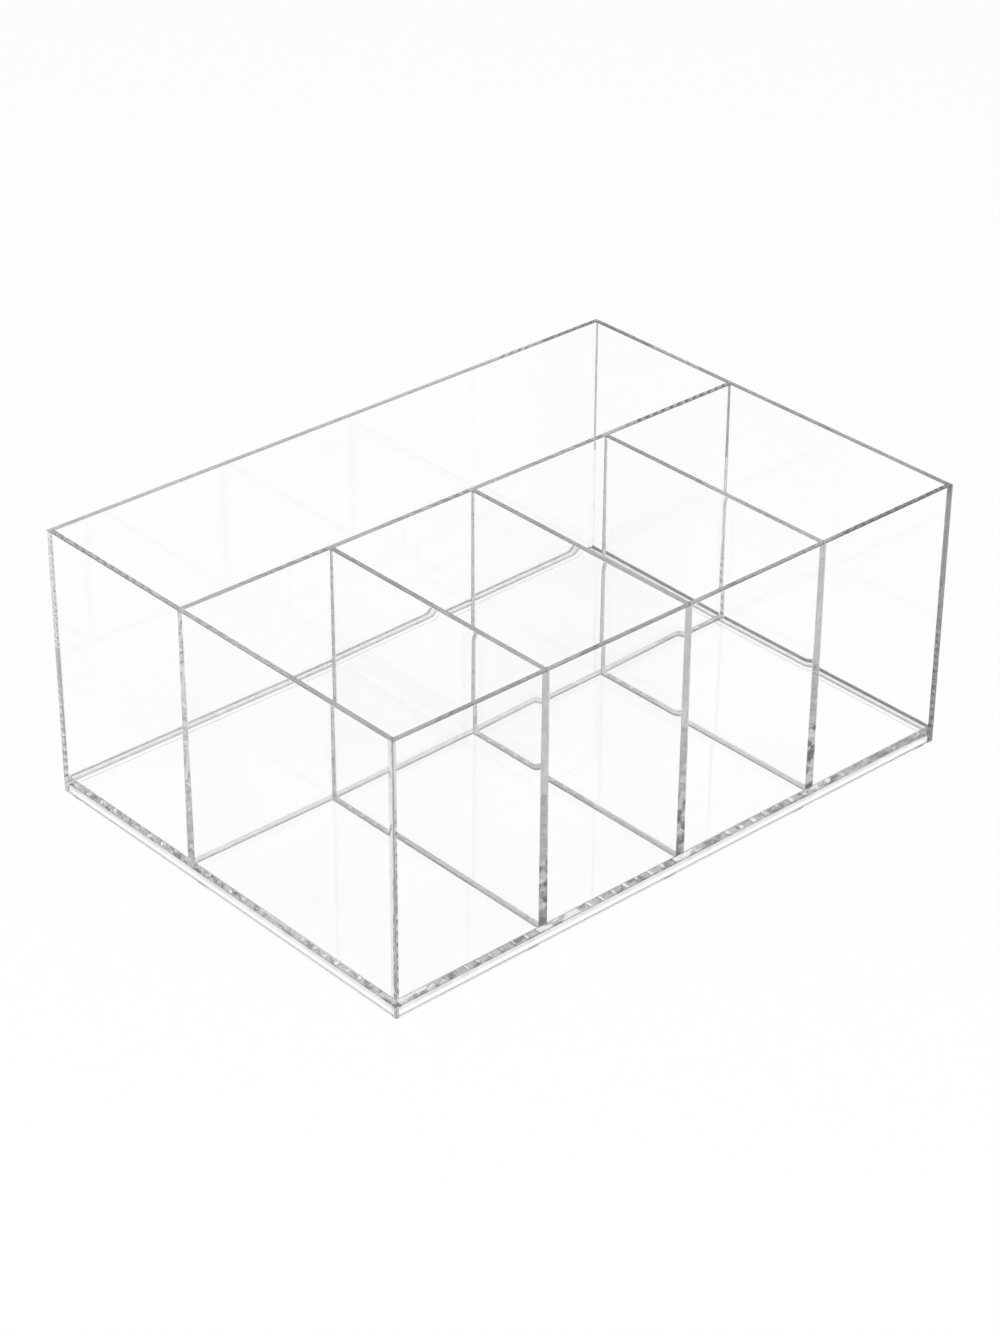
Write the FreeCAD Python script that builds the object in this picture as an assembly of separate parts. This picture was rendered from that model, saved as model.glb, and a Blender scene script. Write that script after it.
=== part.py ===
import FreeCAD, Part
import os

# An open-topped vanity organizer of clear acrylic: four walls, a floor plate between them a
# little above the table, one long divider and a row of cross dividers. The walls are flat
# plates, and the dividers thicken evenly from their top edges to their feet. The walls reach
# below the floor and form the rim that the organizer stands on.
# X runs left to right, Y from front to back, Z up. The origin is on the table under the middle.

# Overall sizes, in millimetres
overall_length = 240.0
overall_depth = 170.0
overall_height = 98.5

# Thicknesses of the flat plates
floor_thickness = 2.7
wall_thickness = 2.0

# Thicknesses of the dividers at the top edge and at the foot
long_divider_top_thickness = 2.0
long_divider_foot_thickness = 3.6
cross_divider_top_thickness = 2.0
cross_divider_foot_thickness = 3.6

# Height of the rim below the floor
rim_height = 3.3

# Compartments: clear depth of the front pockets at the top, and how many there are
front_pocket_depth = 98.5
front_pocket_count = 4

# Film between two plates that are joined
bond_line = 0.05

# Rounding of the polished free edges and of the upright outer corners,
# never more than these shares of the plate
edge_round = 0.3
edge_round_limit_share = 0.4
corner_round = 1.2
corner_round_limit_share = 0.7

# How near an edge lies to a plane to count as lying in it
plane_tolerance = 0.001

# Planes that the plates share
left_x = -overall_length / 2
right_x = overall_length / 2
front_y = -overall_depth / 2
rear_y = overall_depth / 2
inner_left_x = left_x + wall_thickness
inner_right_x = right_x - wall_thickness
inner_front_y = front_y + wall_thickness
inner_rear_y = rear_y - wall_thickness
floor_top_z = rim_height + floor_thickness
divider_bottom_z = floor_top_z + bond_line
long_divider_y = inner_front_y + front_pocket_depth + long_divider_top_thickness / 2
cross_divider_count = front_pocket_count - 1
inner_length = inner_right_x - inner_left_x
all_cross_tops = cross_divider_count * cross_divider_top_thickness
front_pocket_width = (inner_length - all_cross_tops) / front_pocket_count


def plate(low, high):
    """A flat plate between two opposite corners."""
    size = high - low
    return Part.makeBox(size.x, size.y, size.z, low)


def swept(outline, path):
    """The solid that a flat outline leaves behind on a straight path."""
    points = [FreeCAD.Vector(*point) for point in outline]
    return Part.Face(Part.makePolygon(points + points[:1])).extrude(FreeCAD.Vector(*path))


def lies_at(edge, axis, place):
    """True if the whole edge lies in the plane where that axis has that value."""
    points = [vertex.Point for vertex in edge.Vertexes]
    return all(abs(getattr(point, axis) - place) < plane_tolerance for point in points)


def round_edges(shape, radius, groups):
    """Rounds each edge that lies in all the planes of one of the listed groups."""
    chosen = []
    for edge in shape.Edges:
        if any(all(lies_at(edge, *plane) for plane in group) for group in groups):
            chosen.append(edge)
    return shape.makeFillet(radius, chosen)


def polish_radius(thickness):
    """Rounding of a polished edge on a plate of that thickness."""
    return min(edge_round, thickness * edge_round_limit_share)


def make_floor_plate():
    """The floor, joined on all four sides to the walls."""
    return plate(
        FreeCAD.Vector(inner_left_x + bond_line, inner_front_y + bond_line, rim_height),
        FreeCAD.Vector(inner_right_x - bond_line, inner_rear_y - bond_line, floor_top_z),
    )


def make_long_wall(outer_y, inner_y):
    """The front or rear wall: full length, with the upright outer corners of the box."""
    low_y, high_y = sorted((outer_y, inner_y))
    shape = plate(
        FreeCAD.Vector(left_x, low_y, 0),
        FreeCAD.Vector(right_x, high_y, overall_height),
    )
    corners = [
        [("x", left_x), ("y", outer_y)],
        [("x", right_x), ("y", outer_y)],
    ]
    corner_radius = min(corner_round, wall_thickness * corner_round_limit_share)
    shape = round_edges(shape, corner_radius, corners)
    return round_edges(shape, polish_radius(wall_thickness), [[("z", 0)], [("z", overall_height)]])


def make_side_wall(outer_x, inner_x):
    """The left or right wall, between the front and rear walls."""
    low_x, high_x = sorted((outer_x, inner_x))
    shape = plate(
        FreeCAD.Vector(low_x, inner_front_y + bond_line, 0),
        FreeCAD.Vector(high_x, inner_rear_y - bond_line, overall_height),
    )
    rims = [
        [("z", place_z), ("x", place_x)]
        for place_z in (0, overall_height)
        for place_x in (outer_x, inner_x)
    ]
    return round_edges(shape, polish_radius(wall_thickness), rims)


def make_long_divider():
    """The divider along the box, from one side wall to the other."""
    start_x = inner_left_x + bond_line
    end_x = inner_right_x - bond_line
    half_top = long_divider_top_thickness / 2
    half_foot = long_divider_foot_thickness / 2
    outline = [
        (start_x, long_divider_y - half_foot, divider_bottom_z),
        (start_x, long_divider_y + half_foot, divider_bottom_z),
        (start_x, long_divider_y + half_top, overall_height),
        (start_x, long_divider_y - half_top, overall_height),
    ]
    shape = swept(outline, (end_x - start_x, 0, 0))
    top = ("z", overall_height)
    rims = [[top, ("y", long_divider_y - half_top)], [top, ("y", long_divider_y + half_top)]]
    return round_edges(shape, polish_radius(long_divider_top_thickness), rims)


def make_cross_divider(index):
    """One of the dividers between the front wall and the long divider, counted from the left."""
    half_top = cross_divider_top_thickness / 2
    half_foot = cross_divider_foot_thickness / 2
    pitch = front_pocket_width + cross_divider_top_thickness
    middle_x = inner_left_x + (index + 1) * pitch - half_top
    start_y = inner_front_y + bond_line
    foot_end_y = long_divider_y - long_divider_foot_thickness / 2 - bond_line
    top_end_y = long_divider_y - long_divider_top_thickness / 2 - bond_line
    front_outline = [
        (middle_x - half_foot, start_y, divider_bottom_z),
        (middle_x + half_foot, start_y, divider_bottom_z),
        (middle_x + half_top, start_y, overall_height),
        (middle_x - half_top, start_y, overall_height),
    ]
    side_outline = [
        (middle_x - half_foot, start_y, divider_bottom_z),
        (middle_x - half_foot, foot_end_y, divider_bottom_z),
        (middle_x - half_foot, top_end_y, overall_height),
        (middle_x - half_foot, start_y, overall_height),
    ]
    seen_from_front = swept(front_outline, (0, top_end_y - start_y, 0))
    seen_from_side = swept(side_outline, (cross_divider_foot_thickness, 0, 0))
    shape = seen_from_front.common(seen_from_side).Solids[0]
    top = ("z", overall_height)
    rims = [[top, ("x", middle_x - half_top)], [top, ("x", middle_x + half_top)]]
    return round_edges(shape, polish_radius(cross_divider_top_thickness), rims)


nodes = {
    "floor_plate": make_floor_plate(),
    "front_wall": make_long_wall(front_y, inner_front_y),
    "rear_wall": make_long_wall(rear_y, inner_rear_y),
    "left_wall": make_side_wall(left_x, inner_left_x),
    "right_wall": make_side_wall(right_x, inner_right_x),
    "long_divider": make_long_divider(),
}
for index in range(cross_divider_count):
    nodes[f"cross_divider_{index + 1}"] = make_cross_divider(index)

os.makedirs("parts", exist_ok=True)
for name, shape in nodes.items():
    shape.exportStep(f"parts/{name}.step")
    print(name, "valid", shape.isValid(), "solids", len(shape.Solids), "volume", round(shape.Volume, 1))
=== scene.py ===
import math
from collections import namedtuple

import bmesh
import bpy
from mathutils import Matrix, Vector


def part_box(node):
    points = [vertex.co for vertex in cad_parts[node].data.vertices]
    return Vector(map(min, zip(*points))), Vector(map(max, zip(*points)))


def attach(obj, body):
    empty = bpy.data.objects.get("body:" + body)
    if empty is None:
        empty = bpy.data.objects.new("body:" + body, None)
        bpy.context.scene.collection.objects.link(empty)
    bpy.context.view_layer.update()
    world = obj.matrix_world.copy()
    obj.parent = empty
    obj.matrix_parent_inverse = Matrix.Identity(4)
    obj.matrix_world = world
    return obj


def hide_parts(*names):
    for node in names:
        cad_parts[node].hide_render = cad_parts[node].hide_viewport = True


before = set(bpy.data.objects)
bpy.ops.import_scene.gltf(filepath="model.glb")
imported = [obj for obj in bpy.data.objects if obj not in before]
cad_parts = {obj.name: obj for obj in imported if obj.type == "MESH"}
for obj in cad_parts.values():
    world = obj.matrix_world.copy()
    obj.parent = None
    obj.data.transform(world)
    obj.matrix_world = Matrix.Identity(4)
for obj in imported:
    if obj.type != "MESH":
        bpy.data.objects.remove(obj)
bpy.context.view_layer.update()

# An open-topped organizer of clear acrylic on a white studio floor.
# X runs left to right, Y from front to back, Z up, in metres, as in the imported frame.

MM = 0.001

# The dividers thicken from this at the top to the thickness of their packed box at the foot
DIVIDER_TOP = 2.0 * MM

# Rounding of the polished edges and of the upright outer corners
EDGE_ROUND = 0.30 * MM
EDGE_STEPS = 5
CORNER_ROUND = 0.50 * MM
CORNER_STEPS = 8

# A narrow flat strip beside every curved one keeps the wide faces truly flat
GUARD = 0.15 * MM

# Polish thins a cross divider a hair towards its front end and its top edge
THIN_END_DEPTH = 0.035 * MM
THIN_TOP_DEPTH = 0.02 * MM
THIN_REACH = 4.0 * MM
THIN_STEPS = 4

# Hollow fillets of cement: legs at the top and at the foot of an upright joint, then along the
# floor, above it and below it
FILLET_STEPS = 5
FRONT_LEGS = (0.45 * MM, 0.05 * MM)
REAR_LEGS = (0.10 * MM, 0.10 * MM)
SIDE_LEGS = (0.05 * MM, 0.05 * MM)
NO_LEGS = (0.0, 0.0)
NEAR_FOOT_LEG = 0.40 * MM
REAR_FOOT_LEG = 0.60 * MM
RIGHT_FOOT_LEG = 0.80 * MM
DIVIDER_FOOT_LEG = 0.45 * MM
UNDER_LEG = 1.40 * MM

# How far a fillet along the floor keeps from an upright joint, and the length over which it stops
JOINT_MARGIN = 0.05 * MM
FILLET_STOP = 0.02 * MM

# Heights below which the cement holds beads of air, and above which the joints at the far right
# corner carry painted shade, clear below it
BEADS_TOP = 30.0 * MM
CLEAR_TOP = 46.0 * MM

# Edges that turn by more than this stay sharp
SHARP_ANGLE = math.radians(35)

# Values closer together than this count as one
TINY = 1e-8

# The axis that a plate runs along, and its two sides or ends, down an axis and up it
ALONG_X, ALONG_Y = range(2)
LOW, HIGH = range(2)

# Face kinds, which are also the material slots of a piece: the sheet, the joints and the fillets. The
# greys of the edges, joints and fillets, lighter and darker from plate to plate, are painted shade
FACE, EDGE, EDGE_DARK_SHADE = range(3)
BOND, CLEAR, BOND_GREY_SHADE, BOND_DARK_SHADE, BEADED, DASHED = range(3, 9)
CEMENT, CEMENT_GREY_SHADE, CEMENT_DARK_SHADE = range(9, 12)

CROSS_DIVIDERS = ["cross_divider_1", "cross_divider_2", "cross_divider_3"]

# The floor's box, and the heights where the plates' feet and the fillets under the floor begin
floor_low, floor_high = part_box("floor_plate")
foot_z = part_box("long_divider")[0].z
under_z = floor_low.z - (foot_z - floor_high.z)


def lerp(start, end, share):
    """The value at a share of the way between two values."""
    return start + (end - start) * share


def quarter(steps):
    """Angles that divide a quarter turn evenly, with both its ends."""
    return [math.pi / 2 * step / steps for step in range(steps + 1)]


def fillet_steps(leg):
    """Distances from the joint at which a hollow fillet is cut."""
    return [leg * (1 - math.cos(angle)) for angle in quarter(FILLET_STEPS)]


def fillet_rise(distance, leg):
    """How far a hollow fillet stands out at a distance from the joint that it fills."""
    if distance < 0 or distance >= leg:
        return 0.0
    return leg - math.sqrt(leg ** 2 - (leg - distance) ** 2)


def round_steps():
    """Distances from a polished edge at which its rounding is cut."""
    return [EDGE_ROUND * (1 - math.cos(angle)) for angle in quarter(EDGE_STEPS)]


def round_drop(distance):
    """How far the rounding stands back at a distance from a polished edge."""
    return fillet_rise(distance, EDGE_ROUND)


def thin_drop(distance, depth):
    """How far polish has taken a face down at a distance from its edge."""
    return depth * max(0.0, 1 - distance / THIN_REACH) ** 2


def thin_steps():
    """Distances from an edge at which a thinned face is cut."""
    return [THIN_REACH * step / THIN_STEPS for step in range(1, THIN_STEPS + 1)]


# How a joint looks above and below a height
Bond = namedtuple("Bond", "upper lower turn_z", defaults=(0.0,))

# An end of a plate: a free end with its rounded corner on one side, or an end bonded to another
# plate, with the legs of its fillets at the top and at the foot
Corner = namedtuple("Corner", "outer_side")
Bonded = namedtuple("Bonded", "top_leg foot_leg bond")

# The kinds of a plate's other faces: its top edge, its lower edge or foot, the fillets along the
# floor and, on a wall, the band where the floor is bonded to it
Looks = namedtuple("Looks", "edge under fillet band", defaults=(None,))

PLAIN_BOND = Bond(BOND, BOND)
CLEAR_BOND = Bond(CLEAR, CLEAR)


def bond_kind(bond, z):
    """The kind of a joint at a height."""
    return bond.upper if z > bond.turn_z else bond.lower


class Joint:
    """The place on a plate's face where the end of another plate is bonded to it."""

    def __init__(self, carrier, plate, end, bond):
        self.plate = plate
        self.bond = bond
        self.end = end
        self.low_z = plate.low.z
        middle = (plate.low[carrier.along] + plate.high[carrier.along]) / 2
        self.middle = middle - carrier.low[carrier.along]
        foot_leg = max(plate.foot_legs)
        self.clear = plate.half(foot_z) + plate.end_leg(end, foot_z) + foot_leg + JOINT_MARGIN

    def half(self, z):
        """Half the width of the joint at a height."""
        rise = max(self.plate.foot_rise(side, z) for side in (LOW, HIGH))
        return self.plate.half(z) + self.plate.end_leg(self.end, z) + rise

    def holds(self, u, z):
        """True where the joint covers a place on the carrier's face."""
        return z > self.low_z and abs(u - self.middle) < self.half(z)


class Plate:
    """An upright plate that runs along one axis and is thin along the other.

    A place on it is its distance u from the low end, its height z, and its side. The low side faces
    down the axis that the plate is thin along, and the high side faces up it.
    """

    def __init__(self, node, along, ends, foot_legs, looks, thinned=False, leans_on=None):
        self.node = node
        self.along = along
        self.across = 1 - along
        self.low, self.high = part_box(node)
        self.length = self.high[along] - self.low[along]
        self.middle = (self.high[self.across] + self.low[self.across]) / 2
        self.foot_half = (self.high[self.across] - self.low[self.across]) / 2
        self.is_wall = self.low.z < floor_low.z
        self.ends = ends
        self.foot_legs = foot_legs
        self.looks = looks
        self.thinned = thinned
        self.leans_on = leans_on
        self.joints = ([], [])

    def half(self, z):
        """Half the thickness at a height."""
        if self.is_wall:
            return self.foot_half
        return lerp(self.foot_half, DIVIDER_TOP / 2, (z - foot_z) / (self.high.z - foot_z))

    def reach(self, z):
        """Length at a height, where the far end follows the face that it leans on."""
        if self.leans_on is None:
            return self.length
        return self.length - self.leans_on.half(z) + self.leans_on.half(self.high.z)

    def carry(self, side, plate, end, bond=PLAIN_BOND):
        """Bonds the end of another plate to one side of this one."""
        self.joints[side].append(Joint(self, plate, end, bond))

    def end_leg(self, end, z):
        """Leg of the fillets at an end, at a height."""
        shape = self.ends[end]
        if isinstance(shape, Corner):
            return 0.0
        share = (z - foot_z) / (self.high.z - foot_z)
        return lerp(shape.foot_leg, shape.top_leg, min(max(share, 0.0), 1.0))

    def foot_rise(self, side, z):
        """How far the fillet above or below the floor stands out at a height."""
        if self.is_wall and self.foot_legs[side] > 0 and z < floor_low.z:
            return fillet_rise(under_z - z, UNDER_LEG)
        return fillet_rise(z - foot_z, self.foot_legs[side])

    def foot_runs(self, side, z):
        """Stretches of one side that have a fillet along the floor, above it or below it.

        They stop at the joints on that side, of which only those with walls reach below the floor.
        """
        if self.foot_legs[side] <= 0:
            return []
        joints = [joint for joint in self.joints[side] if joint.plate.is_wall or z > floor_low.z]
        runs = []
        start = 0.0
        for joint in sorted(joints, key=lambda joint: joint.middle):
            if joint.middle - joint.clear > start:
                runs.append((start, joint.middle - joint.clear))
            start = joint.middle + joint.clear
        if start < self.length:
            runs.append((start, self.length))
        return runs

    def on_foot_run(self, u, z, side):
        """True where a side has a fillet along the floor."""
        return any(start - TINY < u < stop + TINY for start, stop in self.foot_runs(side, z))

    def edge_inset(self, z):
        """How far the rounding of the top or bottom edge draws the outline in at a height."""
        inset = round_drop(self.high.z - z)
        if self.is_wall:
            inset += round_drop(z - self.low.z)
        return inset

    def drop(self, u, z, side):
        """How far a side stands back from the full thickness, or out from it where it is negative."""
        drop = self.edge_inset(z)
        if self.thinned:
            drop += thin_drop(u, THIN_END_DEPTH) + thin_drop(self.high.z - z, THIN_TOP_DEPTH)
        for end, distance in enumerate((u, self.reach(z) - u)):
            shape = self.ends[end]
            if isinstance(shape, Bonded):
                drop -= fillet_rise(distance, self.end_leg(end, z))
            elif shape.outer_side == side and distance < CORNER_ROUND:
                square = (CORNER_ROUND - drop) ** 2 - (CORNER_ROUND - distance) ** 2
                drop = CORNER_ROUND - math.sqrt(max(0.0, square))
        if self.on_foot_run(u, z, side):
            drop -= self.foot_rise(side, z)
        return drop

    def rows(self):
        """Heights at which the plate is cut."""
        rows = [self.high.z - step for step in round_steps()]
        rows += [self.high.z - EDGE_ROUND - GUARD, BEADS_TOP, CLEAR_TOP]
        if self.thinned:
            rows += [self.high.z - step for step in thin_steps()]
        if self.is_wall:
            rows += [self.low.z + step for step in round_steps()]
            rows += [self.low.z + EDGE_ROUND + GUARD, floor_low.z, floor_high.z]
            rows += [under_z - step for step in fillet_steps(UNDER_LEG)]
            rows.append(under_z - UNDER_LEG - GUARD)
        foot_leg = max(self.foot_legs)
        rows += [foot_z + step for step in fillet_steps(foot_leg)]
        rows.append(foot_z + foot_leg + GUARD)
        return sorted(rows)

    def end_columns(self, end, z):
        """Distances from an end at which the plate is cut at a height."""
        shape = self.ends[end]
        if isinstance(shape, Corner):
            radius = CORNER_ROUND - self.edge_inset(z)
            columns = [CORNER_ROUND - radius * math.cos(angle) for angle in quarter(CORNER_STEPS)]
            return columns + [CORNER_ROUND + GUARD]
        leg = self.end_leg(end, z)
        if leg <= 0:
            return [0.0]
        columns = fillet_steps(leg) + [leg + GUARD]
        if self.thinned and end == LOW:
            columns += [max(step, leg + 2 * GUARD) for step in thin_steps()]
        return columns

    def columns(self, z):
        """Places along the plate at which it is cut at a height."""
        columns = self.end_columns(LOW, z)
        columns += [self.reach(z) - distance for distance in self.end_columns(HIGH, z)]
        for side in (LOW, HIGH):
            for joint in self.joints[side]:
                for place in (joint.middle - joint.half(z), joint.middle + joint.half(z)):
                    if TINY < place < self.length - TINY:
                        columns.append(place)
            for start, stop in self.foot_runs(side, foot_z):
                if start > 0:
                    columns += [start - FILLET_STOP, start]
                if stop < self.length:
                    columns += [stop, stop + FILLET_STOP]
        return sorted(columns)

    def kind(self, u, z, side):
        """What the face is at a place on a side."""
        if z > self.high.z - EDGE_ROUND:
            return self.looks.edge
        if self.is_wall and z < self.low.z + EDGE_ROUND:
            return self.looks.under
        for joint in self.joints[side]:
            if joint.holds(u, z):
                return bond_kind(joint.bond, z)
        if self.is_wall and self.foot_legs[side] > 0 and floor_low.z < z < floor_high.z:
            return self.looks.band
        on_run = self.on_foot_run(u, z, side)
        if on_run and floor_high.z < z < foot_z + self.foot_legs[side]:
            return self.looks.fillet if z > foot_z else BOND
        if self.is_wall and on_run and under_z - UNDER_LEG < z < floor_low.z:
            return self.looks.fillet if z < under_z else BOND
        for end, distance in enumerate((u, self.reach(z) - u)):
            if distance < self.end_leg(end, z):
                return CEMENT
        return FACE

    def point(self, u, z, side):
        """A place on a side, in the frame."""
        place = Vector((0.0, 0.0, z))
        place[self.along] = self.low[self.along] + u
        offset = self.half(z) - self.drop(u, z, side)
        place[self.across] = self.middle - offset if side == LOW else self.middle + offset
        return place

    def build(self):
        """The plate's mesh, as a loft through its rows."""
        mesh = bmesh.new()
        rows = self.rows()
        spans = [self.columns(z) for z in rows]
        grid = [
            [[mesh.verts.new(self.point(u, z, side)) for u in span] for side in (LOW, HIGH)]
            for z, span in zip(rows, spans)
        ]
        last = len(spans[0]) - 1
        for row in range(len(rows) - 1):
            z = (rows[row] + rows[row + 1]) / 2
            lower, upper = grid[row], grid[row + 1]
            for column in range(last):
                u = sum(spans[i][j] for i in (row, row + 1) for j in (column, column + 1)) / 4
                for side in (LOW, HIGH):
                    corners = [
                        lower[side][column], lower[side][column + 1],
                        upper[side][column + 1], upper[side][column],
                    ]
                    add_face(mesh, corners, self.kind(u, z, side))
            for end, column in ((LOW, 0), (HIGH, last)):
                shape = self.ends[end]
                kind = bond_kind(shape.bond, z) if isinstance(shape, Bonded) else FACE
                corners = [
                    lower[LOW][column], lower[HIGH][column],
                    upper[HIGH][column], upper[LOW][column],
                ]
                add_face(mesh, corners, kind)
        for row, kind in ((grid[0], self.looks.under), (grid[-1], self.looks.edge)):
            for column in range(last):
                corners = [
                    row[LOW][column], row[LOW][column + 1],
                    row[HIGH][column + 1], row[HIGH][column],
                ]
                add_face(mesh, corners, kind)
        finish_mesh(self.node, mesh)

    def foot_print(self):
        """Where the plate and its fillets stand on the floor, as rectangles in X and Y."""
        areas = []
        for side in (LOW, HIGH):
            leg = self.foot_legs[side]
            face = self.low[self.across] if side == LOW else self.high[self.across]
            outer = face - leg if side == LOW else face + leg
            for start, stop in self.foot_runs(side, foot_z):
                areas.append(self.area(start, stop, face, outer))
        if not self.is_wall:
            sides = self.low[self.across], self.high[self.across]
            areas.append(self.area(0.0, self.reach(foot_z), *sides))
        return areas

    def area(self, start, stop, one_side, other_side):
        """A rectangle in X and Y, between two distances along the plate and two places across it."""
        low, high = Vector((0.0, 0.0)), Vector((0.0, 0.0))
        low[self.along] = self.low[self.along] + start
        high[self.along] = self.low[self.along] + stop
        low[self.across], high[self.across] = sorted((one_side, other_side))
        return low, high


def add_face(mesh, corners, kind):
    """One smooth face of a kind."""
    face = mesh.faces.new(corners)
    face.material_index = kind
    face.smooth = True


def finish_mesh(node, mesh):
    """Makes the mesh a piece that stands for its CAD node."""
    bmesh.ops.remove_doubles(mesh, verts=mesh.verts, dist=TINY)
    bmesh.ops.recalc_face_normals(mesh, faces=mesh.faces)
    data = bpy.data.meshes.new(node + "_plate")
    mesh.to_mesh(data)
    mesh.free()
    data.set_sharp_from_angle(angle=SHARP_ANGLE)
    for material in materials:
        data.materials.append(material)
    piece = bpy.data.objects.new(node + "_plate", data)
    bpy.context.scene.collection.objects.link(piece)
    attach(piece, "root")
    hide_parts(node)


def spread(values, low, high):
    """Sorted values between two limits, with the limits and without near doubles."""
    kept = [low]
    for value in sorted(values):
        if kept[-1] + TINY < value < high - TINY:
            kept.append(value)
    return kept + [high]


def build_floor(plates):
    """The floor plate, with the places where the plates stand on it and the fillets run under it."""
    areas = [area for plate in plates for area in plate.foot_print()]
    marks = [corner for area in areas for corner in area]
    inset = UNDER_LEG - (foot_z - floor_high.z)
    fillet_xs = [floor_low.x + inset, floor_high.x - inset]
    fillet_ys = [floor_low.y + inset, floor_high.y - inset]
    xs = spread([mark.x for mark in marks] + fillet_xs, floor_low.x, floor_high.x)
    ys = spread([mark.y for mark in marks] + fillet_ys, floor_low.y, floor_high.y)
    heights = (floor_low.z, floor_high.z)
    mesh = bmesh.new()
    layers = [[[mesh.verts.new((x, y, z)) for x in xs] for y in ys] for z in heights]
    for i in range(len(ys) - 1):
        for j in range(len(xs) - 1):
            x = (xs[j] + xs[j + 1]) / 2
            y = (ys[i] + ys[i + 1]) / 2
            inside = fillet_xs[0] < x < fillet_xs[1] and fillet_ys[0] < y < fillet_ys[1]
            stood_on = any(low.x < x < high.x and low.y < y < high.y for low, high in areas)
            for layer, free in zip(layers, (inside, not stood_on)):
                kind = FACE if free else BOND
                corners = [layer[i][j], layer[i][j + 1], layer[i + 1][j + 1], layer[i + 1][j]]
                add_face(mesh, corners, kind)
    bottom, top = layers
    for i in (0, -1):
        for j in range(len(xs) - 1):
            add_face(mesh, [bottom[i][j], bottom[i][j + 1], top[i][j + 1], top[i][j]], CLEAR)
    for j in (0, -1):
        for i in range(len(ys) - 1):
            add_face(mesh, [bottom[i][j], bottom[i + 1][j], top[i + 1][j], top[i][j]], CLEAR)
    finish_mesh("floor_plate", mesh)


# Materials

ACRYLIC_IOR = 1.49

# Tint of the light that passes a face on its way to the floor
PASSING_TINT = (0.985, 0.990, 0.990)

# A wide face: its deeper tint, and the share of its usual reflection that it has
FACE_TINT = (0.985, 0.990, 0.990)
FACE_GLOSS = 0.3

# Patches of tint to the metre
FACE_PATCHES = 14.0
EDGE_PATCHES = 60.0
FILLET_PATCHES = 200.0
JOINT_PATCHES = 300.0
BEADS = 240.0
DASHES = 320.0

# The noise behind the patches: its detail, the level where one tint turns into the other, and how
# far to each side the turn reaches
PATCH_DETAIL = 1.0
PATCH_LEVEL = 0.5
PATCH_SOFTNESS = 0.15
DASH_LEVEL = 0.44
BEAD_SOFTNESS = 0.05


def grey(value):
    """A neutral colour."""
    return (value, value, value)


def new_material(name):
    """A material with an empty node tree, and the tree."""
    material = bpy.data.materials.new(name)
    material.use_nodes = True
    tree = material.node_tree
    tree.nodes.clear()
    return material, tree


def mottle(tree, patches, low, high, level=PATCH_LEVEL, softness=PATCH_SOFTNESS):
    """Patches of two colours, about so many to the metre."""
    place = tree.nodes.new("ShaderNodeTexCoord")
    noise = tree.nodes.new("ShaderNodeTexNoise")
    noise.inputs["Scale"].default_value = patches
    noise.inputs["Detail"].default_value = PATCH_DETAIL
    ramp = tree.nodes.new("ShaderNodeValToRGB")
    ramp.color_ramp.elements[0].position = level - softness
    ramp.color_ramp.elements[0].color = (*low, 1)
    ramp.color_ramp.elements[1].position = level + softness
    ramp.color_ramp.elements[1].color = (*high, 1)
    tree.links.new(place.outputs["Object"], noise.inputs["Vector"])
    tree.links.new(noise.outputs[0], ramp.inputs[0])
    return ramp.outputs["Color"]


def light_passes(tree, shader):
    """Ends a material whose piece lets light through to the floor, faintly dimmed."""
    path = tree.nodes.new("ShaderNodeLightPath")
    clear = tree.nodes.new("ShaderNodeBsdfTransparent")
    clear.inputs["Color"].default_value = (*PASSING_TINT, 1)
    for ray in ("Is Diffuse Ray", "Is Shadow Ray"):
        mix = tree.nodes.new("ShaderNodeMixShader")
        tree.links.new(path.outputs[ray], mix.inputs[0])
        tree.links.new(shader, mix.inputs[1])
        tree.links.new(clear.outputs[0], mix.inputs[2])
        shader = mix.outputs[0]
    output = tree.nodes.new("ShaderNodeOutputMaterial")
    tree.links.new(shader, output.inputs["Surface"])


def acrylic(name, patches, low, high, gloss=1.0):
    """Clear polished acrylic with soft patches of tint, which on the edges and fillets is painted
    shade.
    """
    material, tree = new_material(name)
    shader = tree.nodes.new("ShaderNodeBsdfPrincipled")
    shader.inputs["Transmission Weight"].default_value = 1.0
    shader.inputs["IOR"].default_value = ACRYLIC_IOR
    shader.inputs["Roughness"].default_value = 0.0
    shader.inputs["Specular Tint"].default_value = (*grey(gloss), 1)
    tree.links.new(mottle(tree, patches, low, high), shader.inputs["Base Color"])
    light_passes(tree, shader.outputs[0])
    return material


def bonded_acrylic(name, patches, low, high, level=PATCH_LEVEL, softness=PATCH_SOFTNESS):
    """A cemented face, where light goes straight on from one plate into the next, dimmed by painted
    shade in its patches.
    """
    material, tree = new_material(name)
    clear = tree.nodes.new("ShaderNodeBsdfTransparent")
    tree.links.new(mottle(tree, patches, low, high, level, softness), clear.inputs["Color"])
    light_passes(tree, clear.outputs[0])
    return material


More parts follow.
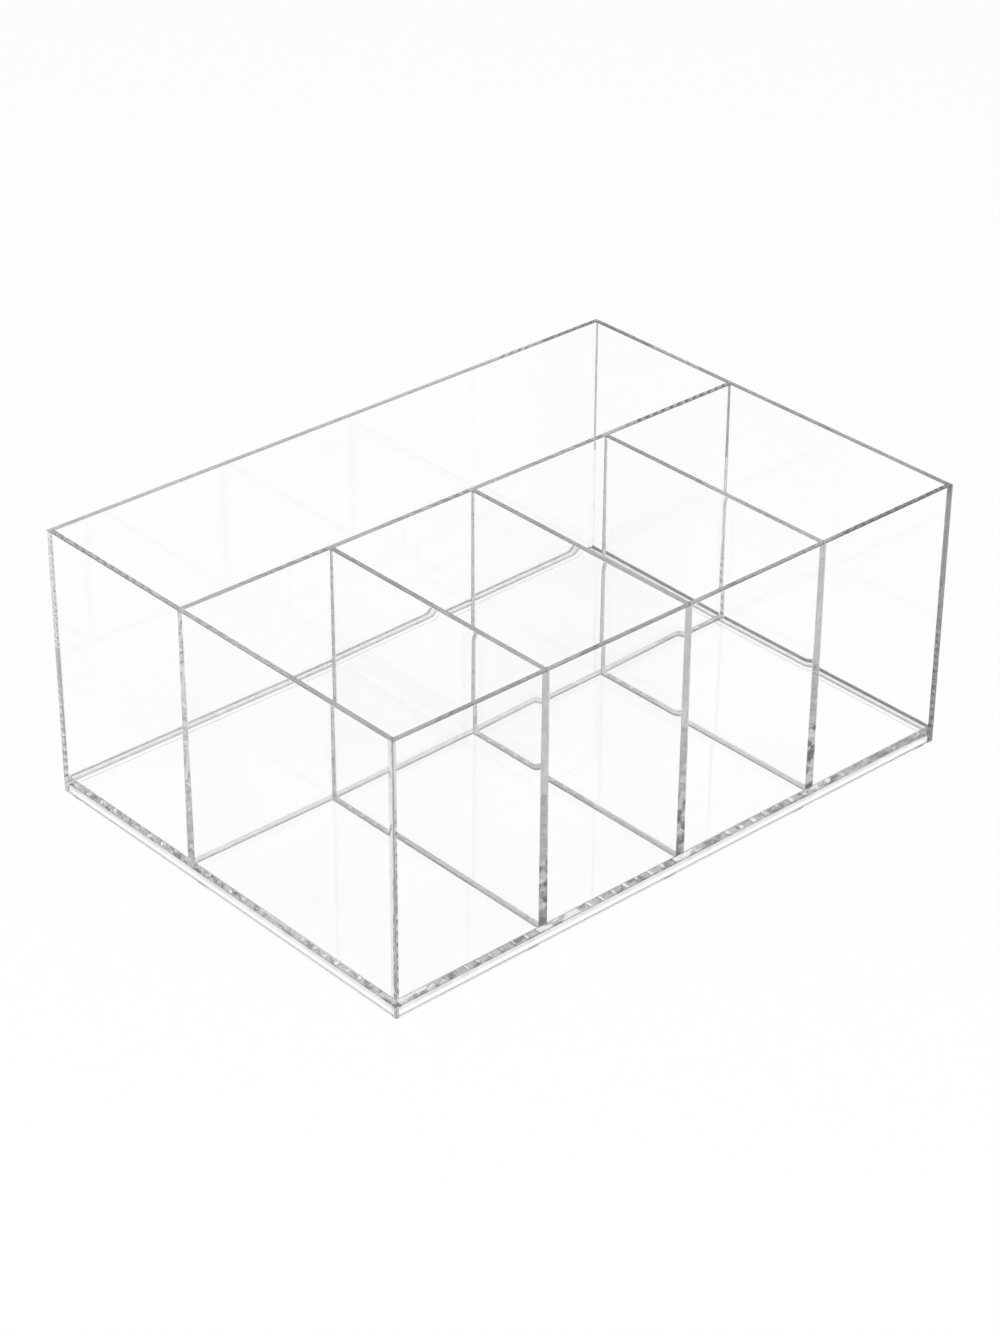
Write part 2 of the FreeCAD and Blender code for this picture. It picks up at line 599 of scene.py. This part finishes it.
# In the order of the face kinds
materials = [
    acrylic("acrylic_face", FACE_PATCHES, FACE_TINT, grey(1.0), FACE_GLOSS),
    # Polished edges, grey with painted shade, deeper on the dividers' and the right wall's top edges
    # and on the near walls' bottom edges
    acrylic("acrylic_edge_painted_shade", EDGE_PATCHES, grey(0.38), grey(0.50)),
    acrylic("acrylic_edge_painted_dark_shade", EDGE_PATCHES, grey(0.24), grey(0.36)),
    # Cemented joints, dimmed by painted shade: light on most, grey and dark at the right wall's ends,
    # nearly clear on the clear ones; the beads of air and the dashes in the cement show as clear
    # spots in painted shade
    bonded_acrylic("acrylic_joint_painted_shade", JOINT_PATCHES, grey(0.83), grey(0.88)),
    bonded_acrylic("acrylic_clear_joint", JOINT_PATCHES, grey(0.93), grey(0.98)),
    bonded_acrylic("acrylic_joint_painted_grey_shade", JOINT_PATCHES, grey(0.58), grey(0.66)),
    bonded_acrylic("acrylic_joint_painted_dark_shade", JOINT_PATCHES, grey(0.40), grey(0.48)),
    bonded_acrylic("acrylic_air_beads_in_painted_shade", BEADS, grey(0.35), grey(1.0), PATCH_LEVEL, BEAD_SOFTNESS),
    bonded_acrylic("acrylic_dashes_in_painted_shade", DASHES, grey(0.55), grey(1.0), DASH_LEVEL, BEAD_SOFTNESS),
    # Cement fillets, grey with painted shade, grey on the rear wall and darkest on the right wall
    acrylic("acrylic_cement_fillet_painted_shade", FILLET_PATCHES, grey(0.58), grey(0.74)),
    acrylic("acrylic_cement_fillet_painted_grey_shade", FILLET_PATCHES, grey(0.46), grey(0.58)),
    acrylic("acrylic_cement_fillet_painted_dark_shade", FILLET_PATCHES, grey(0.10), grey(0.16)),
]

# Pieces

# Legs of the fillets along the floor, on the low and on the high side of a plate
REAR_FOOT = (REAR_FOOT_LEG, 0.0)
RIGHT_FOOT = (RIGHT_FOOT_LEG, 0.0)
NEAR_FOOT = (0.0, NEAR_FOOT_LEG)
BOTH_FEET = (DIVIDER_FOOT_LEG, DIVIDER_FOOT_LEG)

# The joints at the right wall's front end carry dark painted shade, those at its rear end grey
# painted shade above CLEAR_TOP; the others carry light painted shade or stay nearly clear
side_end = Bonded(*NO_LEGS, CLEAR_BOND)
right_front_end = Bonded(*NO_LEGS, Bond(BOND_DARK_SHADE, BOND_DARK_SHADE))
right_rear_end = Bonded(*NO_LEGS, Bond(BOND_GREY_SHADE, CLEAR, CLEAR_TOP))
long_ends = (Bonded(*SIDE_LEGS, CLEAR_BOND), Bonded(*SIDE_LEGS, PLAIN_BOND))
cross_ends = (Bonded(*FRONT_LEGS, Bond(BOND, BEADED, BEADS_TOP)), Bonded(*REAR_LEGS, PLAIN_BOND))

# Each plate's edges, fillets and band take lighter or darker painted shade, set plate by plate
near_looks = Looks(EDGE, EDGE_DARK_SHADE, CEMENT, DASHED)
rear_looks = Looks(EDGE, FACE, CEMENT_GREY_SHADE, CLEAR)
right_looks = Looks(EDGE_DARK_SHADE, FACE, CEMENT_DARK_SHADE, CLEAR)
long_looks = Looks(EDGE_DARK_SHADE, CLEAR, CEMENT)
cross_looks = Looks(EDGE_DARK_SHADE, BOND, CEMENT)

front_wall = Plate("front_wall", ALONG_X, (Corner(LOW), Corner(LOW)), NEAR_FOOT, near_looks)
rear_wall = Plate("rear_wall", ALONG_X, (Corner(HIGH), Corner(HIGH)), REAR_FOOT, rear_looks)
left_wall = Plate("left_wall", ALONG_Y, (side_end, side_end), NEAR_FOOT, near_looks)
right_wall = Plate("right_wall", ALONG_Y, (right_front_end, right_rear_end), RIGHT_FOOT, right_looks)
long_divider = Plate("long_divider", ALONG_X, long_ends, BOTH_FEET, long_looks)
cross_dividers = [
    Plate(node, ALONG_Y, cross_ends, BOTH_FEET, cross_looks, thinned=True, leans_on=long_divider)
    for node in CROSS_DIVIDERS
]

for side_wall in (left_wall, right_wall):
    front_wall.carry(HIGH, side_wall, LOW)
rear_wall.carry(LOW, left_wall, HIGH)
rear_wall.carry(LOW, right_wall, HIGH, Bond(BOND, CLEAR, CLEAR_TOP))
left_wall.carry(HIGH, long_divider, LOW, CLEAR_BOND)
right_wall.carry(LOW, long_divider, HIGH)
for divider in cross_dividers:
    front_wall.carry(HIGH, divider, LOW)
    long_divider.carry(LOW, divider, HIGH)

plates = [front_wall, rear_wall, left_wall, right_wall, long_divider] + cross_dividers
for plate in plates:
    plate.build()
build_floor(plates)

# Studio

WHITE = (1, 1, 1, 1)

# The floor, and how much of its own white it shows beside the light that falls on it
FLOOR_SIZE = 14.0
FLOOR_GAP = 0.05 * MM
FLOOR_GREY = 0.9
FLOOR_GLOW_SHARE = 0.8

# The surround: its light, and the grey overhead with the heights between which it sets in
SKY_LIGHT = 0.9
ZENITH_GREY = 0.35
GREY_FROM = 0.60
GREY_TO = 0.95

LAMP_SIZE = 1.2
LAMP_POWER = 6.0
LAMP_PLACE = Vector((-0.6, -0.5, 1.4))

# Rays that show the floor and the surround, where all others only carry their light
SHOWING_RAYS = ("Is Camera Ray", "Is Glossy Ray", "Is Transmission Ray")


def is_showing_ray(tree):
    """1 for a ray that shows the floor and the surround, else 0."""
    path = tree.nodes.new("ShaderNodeLightPath")
    total = path.outputs[SHOWING_RAYS[0]]
    for name in SHOWING_RAYS[1:]:
        either = tree.nodes.new("ShaderNodeMath")
        either.operation = "MAXIMUM"
        tree.links.new(total, either.inputs[0])
        tree.links.new(path.outputs[name], either.inputs[1])
        total = either.outputs[0]
    return total


def add_floor():
    """A white floor that reaches past the view."""
    mesh = bmesh.new()
    bmesh.ops.create_grid(mesh, x_segments=1, y_segments=1, size=FLOOR_SIZE / 2)
    data = bpy.data.meshes.new("studio_floor")
    mesh.to_mesh(data)
    mesh.free()
    floor = bpy.data.objects.new("studio_floor", data)
    floor.location.z = -FLOOR_GAP
    bpy.context.scene.collection.objects.link(floor)
    material, tree = new_material("studio_floor_white")
    diffuse = tree.nodes.new("ShaderNodeBsdfDiffuse")
    diffuse.inputs["Color"].default_value = (*grey(FLOOR_GREY), 1)
    glow = tree.nodes.new("ShaderNodeEmission")
    glow.inputs["Color"].default_value = WHITE
    glow.inputs["Strength"].default_value = 1.0
    share = tree.nodes.new("ShaderNodeMath")
    share.operation = "MULTIPLY"
    share.inputs[1].default_value = FLOOR_GLOW_SHARE
    tree.links.new(is_showing_ray(tree), share.inputs[0])
    mix = tree.nodes.new("ShaderNodeMixShader")
    tree.links.new(share.outputs[0], mix.inputs[0])
    tree.links.new(diffuse.outputs[0], mix.inputs[1])
    tree.links.new(glow.outputs[0], mix.inputs[2])
    output = tree.nodes.new("ShaderNodeOutputMaterial")
    tree.links.new(mix.outputs[0], output.inputs["Surface"])
    data.materials.append(material)


def add_world():
    """A soft white surround that turns grey overhead, where the polished edges catch it."""
    world = bpy.data.worlds.new("studio")
    bpy.context.scene.world = world
    world.use_nodes = True
    tree = world.node_tree
    tree.nodes.clear()
    lit = tree.nodes.new("ShaderNodeBackground")
    lit.inputs["Color"].default_value = WHITE
    lit.inputs["Strength"].default_value = SKY_LIGHT
    place = tree.nodes.new("ShaderNodeTexCoord")
    split = tree.nodes.new("ShaderNodeSeparateXYZ")
    tree.links.new(place.outputs["Generated"], split.inputs[0])
    height = tree.nodes.new("ShaderNodeMapRange")
    height.inputs["From Min"].default_value = GREY_FROM
    height.inputs["From Max"].default_value = GREY_TO
    height.inputs["To Min"].default_value = 1.0
    height.inputs["To Max"].default_value = ZENITH_GREY
    tree.links.new(split.outputs["Z"], height.inputs["Value"])
    seen = tree.nodes.new("ShaderNodeBackground")
    seen.inputs["Color"].default_value = WHITE
    tree.links.new(height.outputs["Result"], seen.inputs["Strength"])
    mix = tree.nodes.new("ShaderNodeMixShader")
    tree.links.new(is_showing_ray(tree), mix.inputs[0])
    tree.links.new(lit.outputs[0], mix.inputs[1])
    tree.links.new(seen.outputs[0], mix.inputs[2])
    output = tree.nodes.new("ShaderNodeOutputWorld")
    tree.links.new(mix.outputs[0], output.inputs["Surface"])


def add_lamp():
    """One large soft lamp above, to the left and in front, turned to the origin."""
    data = bpy.data.lights.new("soft_lamp", "AREA")
    data.shape = "SQUARE"
    data.size = LAMP_SIZE
    data.energy = LAMP_POWER
    lamp = bpy.data.objects.new("soft_lamp", data)
    lamp.location = LAMP_PLACE
    lamp.rotation_euler = (-LAMP_PLACE).to_track_quat("-Z", "Y").to_euler()
    bpy.context.scene.collection.objects.link(lamp)


# The photograph's view: the camera's direction and distance from its target, how far it is then
# moved aside in its own plane, and its lens and sensor in millimetres
CAMERA_AZIMUTH = math.radians(-42.050)
CAMERA_ELEVATION = math.radians(30.692)
CAMERA_ROLL = math.radians(0.336)
CAMERA_TARGET = Vector((0.0, 0.0, 45.0 * MM))
CAMERA_DISTANCE = 1137.90 * MM
CAMERA_LEFT = 1.626 * MM
CAMERA_DOWN = 5.467 * MM
CAMERA_LENS = 93.175
SENSOR_HEIGHT = 36.0


def add_camera():
    """A camera at the photograph's viewing angle."""
    back = Vector((
        math.sin(CAMERA_AZIMUTH) * math.cos(CAMERA_ELEVATION),
        -math.cos(CAMERA_AZIMUTH) * math.cos(CAMERA_ELEVATION),
        math.sin(CAMERA_ELEVATION),
    ))
    right = Vector((math.cos(CAMERA_AZIMUTH), math.sin(CAMERA_AZIMUTH), 0.0))
    up = back.cross(right)
    rolled_right = right * math.cos(CAMERA_ROLL) + up * math.sin(CAMERA_ROLL)
    rolled_up = up * math.cos(CAMERA_ROLL) - right * math.sin(CAMERA_ROLL)
    place = CAMERA_TARGET + back * CAMERA_DISTANCE
    place = place - rolled_right * CAMERA_LEFT - rolled_up * CAMERA_DOWN
    data = bpy.data.cameras.new("camera")
    data.sensor_fit = "VERTICAL"
    data.sensor_height = SENSOR_HEIGHT
    data.lens = CAMERA_LENS
    camera = bpy.data.objects.new("camera", data)
    turn = Matrix((rolled_right, rolled_up, back)).transposed()
    camera.matrix_world = Matrix.Translation(place) @ turn.to_4x4()
    bpy.context.scene.collection.objects.link(camera)
    bpy.context.scene.camera = camera


add_floor()
add_world()
add_lamp()
add_camera()

# Light crosses many faces of the clear plates
BOUNCES = 128

scene = bpy.context.scene
scene.view_settings.view_transform = "Standard"
scene.cycles.max_bounces = BOUNCES
scene.cycles.transmission_bounces = BOUNCES
scene.cycles.glossy_bounces = BOUNCES
scene.cycles.transparent_max_bounces = BOUNCES
